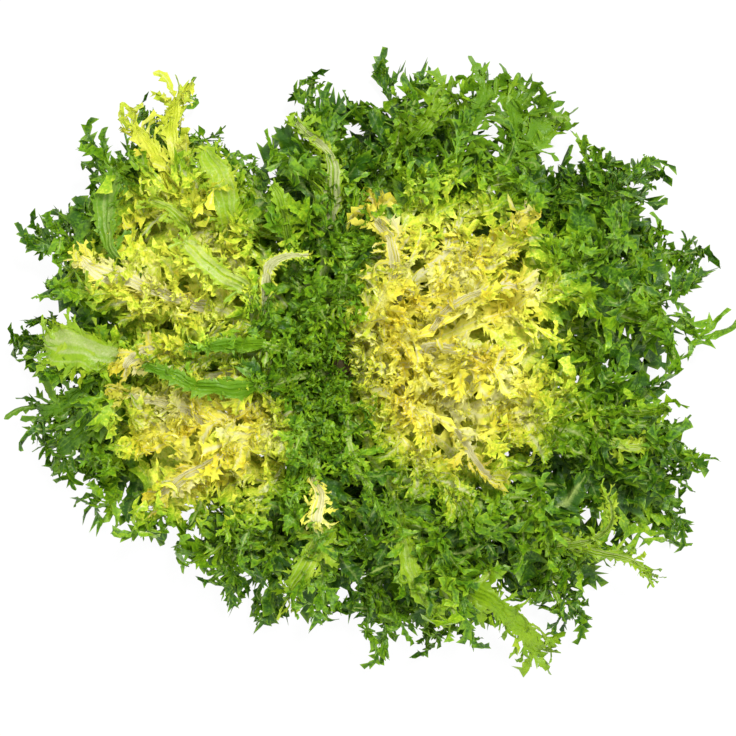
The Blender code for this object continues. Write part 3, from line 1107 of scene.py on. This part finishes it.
def make_ring(kind, habit, slot, translucent, bumpy, blades=()):
    """Makes all leaves of one kind, numbered from the oldest."""
    finish = leaf_material(slot, translucent, bumpy)
    ring = [leaf for leaf in leaves if leaf.kind == kind]
    for number, leaf in enumerate(ring, 1):
        made = make_leaf(leaf, f"{kind}_leaf_{number:02d}", habit, blades, finish)


make_ring("outer", OUTER, "outer_green", 0.25, 0.7)


# --- Middle leaves ---
# Younger leaves, light green, over the outer ones. They were half in the light, so they are pale
# towards the heart and green at their ends.
# Painted shade on the low broad lobes, and a little painted light on the lobes over them.
MIDDLE = Habit((
    Lobes(("broad", "sheet"), spacing=0.0095, longest=0.032, start=0.04, lean=(1.5, 0.9), yaw=0.4,
          pitch=(-0.40, -0.15), tilt=0.4, painted_shade=0.14, stretch=1.3),
    Lobes(("spray", "tuft"), spacing=0.0106, longest=0.027, start=0.41, lean=(1.3, 0.7), yaw=0.5,
          pitch=(0.0, 0.6), tilt=0.8, painted_shade=-0.05, stretch=1.4),
), greens=(0.5, 1.4, 0.06, 0.76, 0.12), ripple=0.0015)

# Yellow blades far out at the upper left with light green ones beside them, a broad streaked fan on
# the left, pale ribs among the green at the top, the foot and the lower right, and green tongues
# at the outline.
MIDDLE_BLADES = blades_from(
    (27, 0.62, (-92, 112, 66), (-92, 153, 54), (5, 5, 2), 0.27, 0.60, 14),
    (27, 0.72, (-100, 122, 62), (-116, 136, 56), (3, 4, 1.5), 0.25, 0.50, 12),
    (27, 0.50, (-54, 90, 78), (-72, 118, 70), (5, 8, 5), 0.46, 0.72, 8),
    (27, 0.64, (-86, 80, 76), (-104, 91, 70), (3, 5, 2), 0.38, 0.74, 8),
    (30, 0.60, (-128, 8, 78), (-164, 14, 58), (3, 7, 11), 0.48, 0.80, 11),
    (32, 0.56, (8, 112, 80), (-22, 135, 66), (9, 1, 3), 0.46, 1.20, 8),
    (36, 0.90, (98, -136, 60), (116, -160, 34), (3, 6, 4), 0.56, 0.60, 13),
    (31, 0.84, (145, -98, 62), (175, -118, 46), (2.5, 3.5, 1), 0.52, 0.85, 9),
    (31, 0.90, (154, -92, 70), (150, -70, 66), (2.5, 2, 1), 0.50, 0.85, 7),
    (26, 0.70, (150, -48, 62), (168, -44, 56), (2, 3, 2), 0.46, 0.85, 8),
    (28, 0.60, (-10, -100, 66), (-30, -128, 56), (2, 6, 2), 0.50, 0.80, 9),
    (36, 0.55, (34, -108, 74), (58, -136, 64), (2, 7, 2), 0.52, 0.70, 7),
    (35, 0.50, (-120, 48, 76), (-144, 60, 68), (3, 5, 2), 0.06, 1.20, 9),
    (35, 0.72, (-140, 72, 66), (-124, 106, 62), (2, 3, 6), 0.74, 0.75, 8),
    (24, 0.75, (44, 134, 60), (60, 156, 44), (2, 4, 4), 0.62, 0.70, 12),
    (37, 0.80, (78, 132, 58), (84, 160, 40), (2, 4, 5), 0.72, 0.60, 16),
    (29, 0.80, (104, 126, 50), (118, 142, 38), (2, 4, 5), 0.70, 0.60, 16),
    (29, 0.85, (98, 136, 52), (102, 154, 40), (2, 4, 5), 0.74, 0.60, 16),
    (30, 0.78, (-146, -16, 48), (-172, -26, 34), (2, 4, 5), 0.82, 0.50, 15),
    (30, 0.70, (-140, -34, 46), (-160, -50, 34), (2, 4, 5), 0.84, 0.50, 15),
)
make_ring("middle", MIDDLE, "middle_green", 0.28, 0.7, MIDDLE_BLADES)


# --- Heart leaves ---
# The blanched heart: small, densely frizzed yellow leaves on broad cream ribs. They grew inside
# the others, in the dark, and fall open to the left and to the right of the core.
HEART = Habit((
    Lobes(("sheet",), spacing=0.0045, longest=0.025, start=0.05, lean=(1.2, 0.5), yaw=0.5,
          pitch=(-0.1, 0.35), tilt=0.5, crown=0.6),
    Lobes(("plume",), spacing=0.0104, longest=0.021, start=0.05, lean=(1.2, 0.5), yaw=0.6,
          pitch=(0.0, 0.6), tilt=0.6, crown=0.6),
), greens=(0.5, 1.4, 0.0, 0.74, 0.08), ripple=0.0014, strands="heart_strand", end_length=0.022)

# Cream blades with combed edges: five in the right heart, three in the left one.
HEART_BLADES = blades_from(
    (50, 0.62, (28, 66, 84), (19, 88, 80), (2, 4, 1), 0.04, 1.25, 12),
    (42, 0.70, (88, 62, 80), (100, 84, 74), (2, 3, 1), 0.10, 1.25, 11),
    (55, 0.60, (64, 48, 94), (100, 40, 84), (1.5, 3, 1), 0.06, 1.25, 10),
    (47, 0.35, (46, 24, 80), (76, 4, 84), (3, 4.5, 1), 0.02, 1.25, 11),
    (52, 0.70, (66, -46, 86), (84, -62, 74), (1.5, 3, 1), 0.10, 1.25, 10),
    (43, 0.78, (-110, 14, 81), (-116, 0, 76), (2, 4, 2), 0.04, 1.25, 9),
    (38, 0.60, (-96, -16, 76), (-120, -14, 70), (2, 3, 1), 0.08, 1.25, 9),
    (46, 0.85, (-84, -58, 80), (-100, -74, 62), (2, 3.5, 1), 0.08, 1.20, 9),
)
make_ring("heart", HEART, "heart_yellow", 0.45, 0.4, HEART_BLADES)


# --- Cover leaves ---
# Green leaves that lie across the middle, between the two hearts, and hide their ribs. They are
# the youngest, grow from the top of the core, and are short and tightly curled.
# Painted shade on the low broad lobes.
COVER = Habit((
    Lobes(("broad",), spacing=0.0110, longest=0.022, start=0.0, lean=(1.3, 0.7), yaw=0.4,
          pitch=(-0.2, 0.2), tilt=0.7, crown=1.0, painted_shade=0.08),
    Lobes(("tuft",), spacing=0.0090, longest=0.020, start=0.0, lean=(1.2, 0.6), yaw=0.7,
          pitch=(0.0, 0.8), tilt=1.1, crown=1.0),
), greens=(0.65, 0.90, 0.10, 0.70, 0.10), ripple=0.0014, end_length=0.022)

# Two dark ribs across the left heart, a cream one curled like a C, a light green one above it, a
# fringed yellow tip at the foot and an olive stub at the head.
COVER_BLADES = blades_from(
    (51, 0.50, (-75, -16, 96), (-103, 1, 94), (3, 5, 2), 0.74, 0.62, 5),
    (56, 0.55, (-62, 16, 99), (-80, 10, 97), (2, 4, 1), 0.72, 0.62, 5),
    (48, 0.45, (-46, 58, 93), (-14, 61, 90), (2.6, 3.4, 1.2), 0.36, 1.20, 4),
    (48, 0.60, (-66, 52, 96), (-82, 68, 89), (3, 8, 3), 0.42, 0.76, 7),
    (41, 0.60, (-9, -74, 84), (-10, -84, 78), (2, 3, 3), 0.12, 0.95, 6),
    (40, 0.85, (-29, 84, 80), (-34, 98, 76), (2, 3, 2), 0.60, 0.70, 3),
)
make_ring("cover", COVER, "cover_green", 0.25, 0.7, COVER_BLADES)

for collection in (LOBES, green_fans, heart_fans):
    for shape in list(collection.objects):
        bpy.data.objects.remove(shape)


# --- Studio ---
# A plain white table, soft light from all round and a small key light from above, and the camera
# straight over the head.
FLOOR_SIZE = 6.0
TABLE_WHITE = (0.86, 0.86, 0.86, 1)
TABLE_GLOW = 0.93  # how far the table is kept white where the camera sees it
SKY_STRENGTH = 1.05
VIEW_WIDTH = 0.4203
VIEW_HEIGHT = 0.030  # of the level at which that width just fills the view
VIEW_CENTRE = (0.016, 0.0)
LENS = 80.0
SENSOR = 36.0


def floor_material():
    made, tree, shader = blank_material("table_white")
    fill(tree, shader, {"Base Color": TABLE_WHITE, "Roughness": 0.9})
    glow = new_node(tree, "ShaderNodeEmission", {"Color": (1, 1, 1, 1), "Strength": 1.0})
    seen = tree.nodes.new("ShaderNodeLightPath").outputs["Is Camera Ray"]
    share = arithmetic(tree, "MULTIPLY", seen, TABLE_GLOW)
    mix_surface(tree, share, shader.outputs[0], glow[0])
    return made


bpy.ops.mesh.primitive_plane_add(size=FLOOR_SIZE)
floor = bpy.context.active_object
floor.name = "table"
floor.data.materials.append(floor_material())


def area_light(name, place, size, power):
    lamp = bpy.data.lights.new(name, "AREA")
    lamp.shape = "DISK"
    lamp.size = size
    lamp.energy = power
    made = bpy.data.objects.new(name, lamp)
    made.location = place
    made.rotation_euler = (-Vector(place)).to_track_quat("-Z", "Y").to_euler()
    bpy.context.scene.collection.objects.link(made)


area_light("key", (0.35, 0.45, 1.5), 0.30, 24)
area_light("fill", (-0.8, -0.6, 1.4), 1.6, 6)
world = bpy.data.worlds.new("studio")
bpy.context.scene.world = world
world.use_nodes = True
sky = world.node_tree.nodes["Background"]
fill(world.node_tree, sky, {"Color": (1, 1, 1, 1), "Strength": SKY_STRENGTH})

camera_data = bpy.data.cameras.new("camera")
camera_data.lens = LENS
camera_data.sensor_width = SENSOR
distance = VIEW_WIDTH * LENS / SENSOR
camera = bpy.data.objects.new("camera", camera_data)
camera.location = (*VIEW_CENTRE, VIEW_HEIGHT + distance)
bpy.context.scene.collection.objects.link(camera)
bpy.context.scene.camera = camera
bpy.context.scene.view_settings.view_transform = "Standard"
